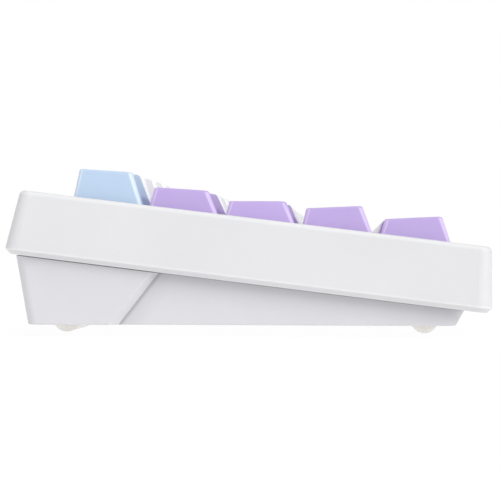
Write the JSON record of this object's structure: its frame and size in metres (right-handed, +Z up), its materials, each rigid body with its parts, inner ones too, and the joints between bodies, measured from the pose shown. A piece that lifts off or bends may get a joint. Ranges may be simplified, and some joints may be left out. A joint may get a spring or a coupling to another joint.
{
  "type": "mechanical keyboard",
  "caption": "Compact mechanical keyboard: sloping two-part case on rubber feet, a switch plate, sprung keys that press down on their switches, and stabilised wide keys.",
  "frame": {"origin": "on the ground below the middle of the case", "axes": "+X to the typist's right, +Y to the rear edge with the socket, +Z up"},
  "size_m": [0.3064, 0.1171, 0.0414],
  "materials": {
    "case_plastic": "satin",
    "base_plastic": "satin",
    "purple_caps": "fine-grained satin",
    "blue_caps": "fine-grained satin",
    "white_caps": "fine-grained satin",
    "plate_paint": "powder coated",
    "board_laminate": "solder mask",
    "component_black": "moulded",
    "socket_steel": "brushed",
    "screw_steel": "blackened",
    "spring_steel": "drawn wire",
    "contact_brass": "rolled",
    "switch_lower": "moulded",
    "switch_upper": "moulded, translucent",
    "stabiliser_plastic": "moulded",
    "foot_rubber": "moulded"
  },
  "bodies": {
    "case": {"bottom_case": "base_plastic", "top_case": "case_plastic", "switch_plate": "plate_paint", "circuit_board": "board_laminate", "board_electronics": "component_black", "usb_c_socket": "socket_steel", "screws": "screw_steel", "rubber_feet": "foot_rubber", "switch_lower_housings": "switch_lower", "switch_upper_housings": "switch_upper", "switch_contacts": "contact_brass", "switch_springs": "spring_steel", "hot_swap_sockets": "component_black", "stabiliser_housings": "stabiliser_plastic"},
    "escape_key": {"escape_key": "blue_caps"},
    "tab_key": {"tab_key": "purple_caps"},
    "caps_lock_key": {"caps_lock_key": "purple_caps"},
    "left_shift_key": {"left_shift_key": "purple_caps"},
    "left_control_key": {"left_control_key": "purple_caps"},
    "space_key": {"space_key": "white_caps"},
    "enter_key": {"enter_key": "blue_caps"},
    "backspace_key": {"backspace_key": "purple_caps"},
    "number_row_keys": {"number_row_keys": "white_caps"},
    "punctuation_keys": {"punctuation_keys": "white_caps"},
    "right_corner_keys": {"right_corner_keys": "white_caps"},
    "right_shift_key": {"right_shift_key": "purple_caps"},
    "right_control_key": {"right_control_key": "purple_caps"},
    "q_key": {"q_key": "white_caps"},
    "w_key": {"w_key": "white_caps"},
    "e_key": {"e_key": "white_caps"},
    "r_key": {"r_key": "white_caps"},
    "t_key": {"t_key": "white_caps"},
    "y_key": {"y_key": "white_caps"},
    "u_key": {"u_key": "white_caps"},
    "i_key": {"i_key": "white_caps"},
    "o_key": {"o_key": "white_caps"},
    "p_key": {"p_key": "white_caps"},
    "a_key": {"a_key": "white_caps"},
    "s_key": {"s_key": "white_caps"},
    "d_key": {"d_key": "white_caps"},
    "f_key": {"f_key": "white_caps"},
    "g_key": {"g_key": "white_caps"},
    "h_key": {"h_key": "white_caps"},
    "j_key": {"j_key": "white_caps"},
    "k_key": {"k_key": "white_caps"},
    "l_key": {"l_key": "white_caps"},
    "z_key": {"z_key": "white_caps"},
    "x_key": {"x_key": "white_caps"},
    "c_key": {"c_key": "white_caps"},
    "v_key": {"v_key": "white_caps"},
    "b_key": {"b_key": "white_caps"},
    "n_key": {"n_key": "white_caps"},
    "m_key": {"m_key": "white_caps"},
    "command_key": {"command_key": "white_caps"},
    "left_alt_key": {"left_alt_key": "white_caps"},
    "backspace_stabiliser_wire": {"backspace_stabiliser_wire": "spring_steel"},
    "enter_stabiliser_wire": {"enter_stabiliser_wire": "spring_steel"},
    "left_shift_stabiliser_wire": {"left_shift_stabiliser_wire": "spring_steel"},
    "right_shift_stabiliser_wire": {"right_shift_stabiliser_wire": "spring_steel"},
    "space_stabiliser_wire": {"space_stabiliser_wire": "spring_steel"}
  },
  "joints": [
    {"name": "escape_press", "type": "slide", "parent": "case", "child": "escape_key", "axis": [0, 0.1219, -0.9925], "range_m": [0, 0.004], "stiffness_N_per_m": 75, "springref_m": -0.004, "deforming": ["switch_springs"]},
    {"name": "tab_press", "type": "slide", "parent": "case", "child": "tab_key", "axis": [0, 0.1219, -0.9925], "range_m": [0, 0.004], "stiffness_N_per_m": 75, "springref_m": -0.004, "deforming": ["switch_springs"]},
    {"name": "caps_lock_press", "type": "slide", "parent": "case", "child": "caps_lock_key", "axis": [0, 0.1219, -0.9925], "range_m": [0, 0.004], "stiffness_N_per_m": 75, "springref_m": -0.004, "deforming": ["switch_springs"]},
    {"name": "left_shift_press", "type": "slide", "parent": "case", "child": "left_shift_key", "axis": [0, 0.1219, -0.9925], "range_m": [0, 0.004], "stiffness_N_per_m": 75, "springref_m": -0.004, "deforming": ["switch_springs"]},
    {"name": "left_control_press", "type": "slide", "parent": "case", "child": "left_control_key", "axis": [0, 0.1219, -0.9925], "range_m": [0, 0.004], "stiffness_N_per_m": 75, "springref_m": -0.004, "deforming": ["switch_springs"]},
    {"name": "space_press", "type": "slide", "parent": "case", "child": "space_key", "axis": [0, 0.1219, -0.9925], "range_m": [0, 0.004], "stiffness_N_per_m": 75, "springref_m": -0.004, "deforming": ["switch_springs"]},
    {"name": "enter_press", "type": "slide", "parent": "case", "child": "enter_key", "axis": [0, 0.1219, -0.9925], "range_m": [0, 0.004], "stiffness_N_per_m": 75, "springref_m": -0.004, "deforming": ["switch_springs"]},
    {"name": "backspace_press", "type": "slide", "parent": "case", "child": "backspace_key", "axis": [0, 0.1219, -0.9925], "range_m": [0, 0.004], "stiffness_N_per_m": 75, "springref_m": -0.004, "deforming": ["switch_springs"]},
    {"name": "number_row_press", "type": "slide", "parent": "case", "child": "number_row_keys", "axis": [0, 0.1219, -0.9925], "range_m": [0, 0.004], "stiffness_N_per_m": 75, "springref_m": -0.004, "deforming": ["switch_springs"]},
    {"name": "punctuation_press", "type": "slide", "parent": "case", "child": "punctuation_keys", "axis": [0, 0.1219, -0.9925], "range_m": [0, 0.004], "stiffness_N_per_m": 75, "springref_m": -0.004, "deforming": ["switch_springs"]},
    {"name": "right_corner_press", "type": "slide", "parent": "case", "child": "right_corner_keys", "axis": [0, 0.1219, -0.9925], "range_m": [0, 0.004], "stiffness_N_per_m": 75, "springref_m": -0.004, "deforming": ["switch_springs"]},
    {"name": "right_shift_press", "type": "slide", "parent": "case", "child": "right_shift_key", "axis": [0, 0.1219, -0.9925], "range_m": [0, 0.004], "stiffness_N_per_m": 75, "springref_m": -0.004, "deforming": ["switch_springs"]},
    {"name": "right_control_press", "type": "slide", "parent": "case", "child": "right_control_key", "axis": [0, 0.1219, -0.9925], "range_m": [0, 0.004], "stiffness_N_per_m": 75, "springref_m": -0.004, "deforming": ["switch_springs"]},
    {"name": "q_press", "type": "slide", "parent": "case", "child": "q_key", "axis": [0, 0.1219, -0.9925], "range_m": [0, 0.004], "stiffness_N_per_m": 75, "springref_m": -0.004, "deforming": ["switch_springs"]},
    {"name": "w_press", "type": "slide", "parent": "case", "child": "w_key", "axis": [0, 0.1219, -0.9925], "range_m": [0, 0.004], "stiffness_N_per_m": 75, "springref_m": -0.004, "deforming": ["switch_springs"]},
    {"name": "e_press", "type": "slide", "parent": "case", "child": "e_key", "axis": [0, 0.1219, -0.9925], "range_m": [0, 0.004], "stiffness_N_per_m": 75, "springref_m": -0.004, "deforming": ["switch_springs"]},
    {"name": "r_press", "type": "slide", "parent": "case", "child": "r_key", "axis": [0, 0.1219, -0.9925], "range_m": [0, 0.004], "stiffness_N_per_m": 75, "springref_m": -0.004, "deforming": ["switch_springs"]},
    {"name": "t_press", "type": "slide", "parent": "case", "child": "t_key", "axis": [0, 0.1219, -0.9925], "range_m": [0, 0.004], "stiffness_N_per_m": 75, "springref_m": -0.004, "deforming": ["switch_springs"]},
    {"name": "y_press", "type": "slide", "parent": "case", "child": "y_key", "axis": [0, 0.1219, -0.9925], "range_m": [0, 0.004], "stiffness_N_per_m": 75, "springref_m": -0.004, "deforming": ["switch_springs"]},
    {"name": "u_press", "type": "slide", "parent": "case", "child": "u_key", "axis": [0, 0.1219, -0.9925], "range_m": [0, 0.004], "stiffness_N_per_m": 75, "springref_m": -0.004, "deforming": ["switch_springs"]},
    {"name": "i_press", "type": "slide", "parent": "case", "child": "i_key", "axis": [0, 0.1219, -0.9925], "range_m": [0, 0.004], "stiffness_N_per_m": 75, "springref_m": -0.004, "deforming": ["switch_springs"]},
    {"name": "o_press", "type": "slide", "parent": "case", "child": "o_key", "axis": [0, 0.1219, -0.9925], "range_m": [0, 0.004], "stiffness_N_per_m": 75, "springref_m": -0.004, "deforming": ["switch_springs"]},
    {"name": "p_press", "type": "slide", "parent": "case", "child": "p_key", "axis": [0, 0.1219, -0.9925], "range_m": [0, 0.004], "stiffness_N_per_m": 75, "springref_m": -0.004, "deforming": ["switch_springs"]},
    {"name": "a_press", "type": "slide", "parent": "case", "child": "a_key", "axis": [0, 0.1219, -0.9925], "range_m": [0, 0.004], "stiffness_N_per_m": 75, "springref_m": -0.004, "deforming": ["switch_springs"]},
    {"name": "s_press", "type": "slide", "parent": "case", "child": "s_key", "axis": [0, 0.1219, -0.9925], "range_m": [0, 0.004], "stiffness_N_per_m": 75, "springref_m": -0.004, "deforming": ["switch_springs"]},
    {"name": "d_press", "type": "slide", "parent": "case", "child": "d_key", "axis": [0, 0.1219, -0.9925], "range_m": [0, 0.004], "stiffness_N_per_m": 75, "springref_m": -0.004, "deforming": ["switch_springs"]},
    {"name": "f_press", "type": "slide", "parent": "case", "child": "f_key", "axis": [0, 0.1219, -0.9925], "range_m": [0, 0.004], "stiffness_N_per_m": 75, "springref_m": -0.004, "deforming": ["switch_springs"]},
    {"name": "g_press", "type": "slide", "parent": "case", "child": "g_key", "axis": [0, 0.1219, -0.9925], "range_m": [0, 0.004], "stiffness_N_per_m": 75, "springref_m": -0.004, "deforming": ["switch_springs"]},
    {"name": "h_press", "type": "slide", "parent": "case", "child": "h_key", "axis": [0, 0.1219, -0.9925], "range_m": [0, 0.004], "stiffness_N_per_m": 75, "springref_m": -0.004, "deforming": ["switch_springs"]},
    {"name": "j_press", "type": "slide", "parent": "case", "child": "j_key", "axis": [0, 0.1219, -0.9925], "range_m": [0, 0.004], "stiffness_N_per_m": 75, "springref_m": -0.004, "deforming": ["switch_springs"]},
    {"name": "k_press", "type": "slide", "parent": "case", "child": "k_key", "axis": [0, 0.1219, -0.9925], "range_m": [0, 0.004], "stiffness_N_per_m": 75, "springref_m": -0.004, "deforming": ["switch_springs"]},
    {"name": "l_press", "type": "slide", "parent": "case", "child": "l_key", "axis": [0, 0.1219, -0.9925], "range_m": [0, 0.004], "stiffness_N_per_m": 75, "springref_m": -0.004, "deforming": ["switch_springs"]},
    {"name": "z_press", "type": "slide", "parent": "case", "child": "z_key", "axis": [0, 0.1219, -0.9925], "range_m": [0, 0.004], "stiffness_N_per_m": 75, "springref_m": -0.004, "deforming": ["switch_springs"]},
    {"name": "x_press", "type": "slide", "parent": "case", "child": "x_key", "axis": [0, 0.1219, -0.9925], "range_m": [0, 0.004], "stiffness_N_per_m": 75, "springref_m": -0.004, "deforming": ["switch_springs"]},
    {"name": "c_press", "type": "slide", "parent": "case", "child": "c_key", "axis": [0, 0.1219, -0.9925], "range_m": [0, 0.004], "stiffness_N_per_m": 75, "springref_m": -0.004, "deforming": ["switch_springs"]},
    {"name": "v_press", "type": "slide", "parent": "case", "child": "v_key", "axis": [0, 0.1219, -0.9925], "range_m": [0, 0.004], "stiffness_N_per_m": 75, "springref_m": -0.004, "deforming": ["switch_springs"]},
    {"name": "b_press", "type": "slide", "parent": "case", "child": "b_key", "axis": [0, 0.1219, -0.9925], "range_m": [0, 0.004], "stiffness_N_per_m": 75, "springref_m": -0.004, "deforming": ["switch_springs"]},
    {"name": "n_press", "type": "slide", "parent": "case", "child": "n_key", "axis": [0, 0.1219, -0.9925], "range_m": [0, 0.004], "stiffness_N_per_m": 75, "springref_m": -0.004, "deforming": ["switch_springs"]},
    {"name": "m_press", "type": "slide", "parent": "case", "child": "m_key", "axis": [0, 0.1219, -0.9925], "range_m": [0, 0.004], "stiffness_N_per_m": 75, "springref_m": -0.004, "deforming": ["switch_springs"]},
    {"name": "command_press", "type": "slide", "parent": "case", "child": "command_key", "axis": [0, 0.1219, -0.9925], "range_m": [0, 0.004], "stiffness_N_per_m": 75, "springref_m": -0.004, "deforming": ["switch_springs"]},
    {"name": "left_alt_press", "type": "slide", "parent": "case", "child": "left_alt_key", "axis": [0, 0.1219, -0.9925], "range_m": [0, 0.004], "stiffness_N_per_m": 75, "springref_m": -0.004, "deforming": ["switch_springs"]},
    {"name": "backspace_wire_tilt", "type": "hinge", "parent": "case", "child": "backspace_stabiliser_wire", "pos_m": [0.12383, 0.02783, 0.02141], "axis": [-1, 0, 0], "range_deg": [0, 30.6]},
    {"name": "enter_wire_tilt", "type": "hinge", "parent": "case", "child": "enter_stabiliser_wire", "pos_m": [0.12144, 0.00589, 0.01871], "axis": [1, 0, 0], "range_deg": [0, 30.6]},
    {"name": "left_shift_wire_tilt", "type": "hinge", "parent": "case", "child": "left_shift_stabiliser_wire", "pos_m": [-0.12144, -0.01301, 0.01639], "axis": [1, 0, 0], "range_deg": [0, 30.6]},
    {"name": "right_shift_wire_tilt", "type": "hinge", "parent": "case", "child": "right_shift_stabiliser_wire", "pos_m": [0.11668, -0.01301, 0.01639], "axis": [1, 0, 0], "range_deg": [0, 30.6]},
    {"name": "space_wire_tilt", "type": "hinge", "parent": "case", "child": "space_stabiliser_wire", "pos_m": [-0.01191, -0.03192, 0.01407], "axis": [1, 0, 0], "range_deg": [0, 30.6]}
  ],
  "couplings": [
    {"joint": "backspace_wire_tilt", "follows": "backspace_press", "rad_per_m": 133.23},
    {"joint": "enter_wire_tilt", "follows": "enter_press", "rad_per_m": 133.23},
    {"joint": "left_shift_wire_tilt", "follows": "left_shift_press", "rad_per_m": 133.23},
    {"joint": "right_shift_wire_tilt", "follows": "right_shift_press", "rad_per_m": 133.23},
    {"joint": "space_wire_tilt", "follows": "space_press", "rad_per_m": 133.23}
  ]
}
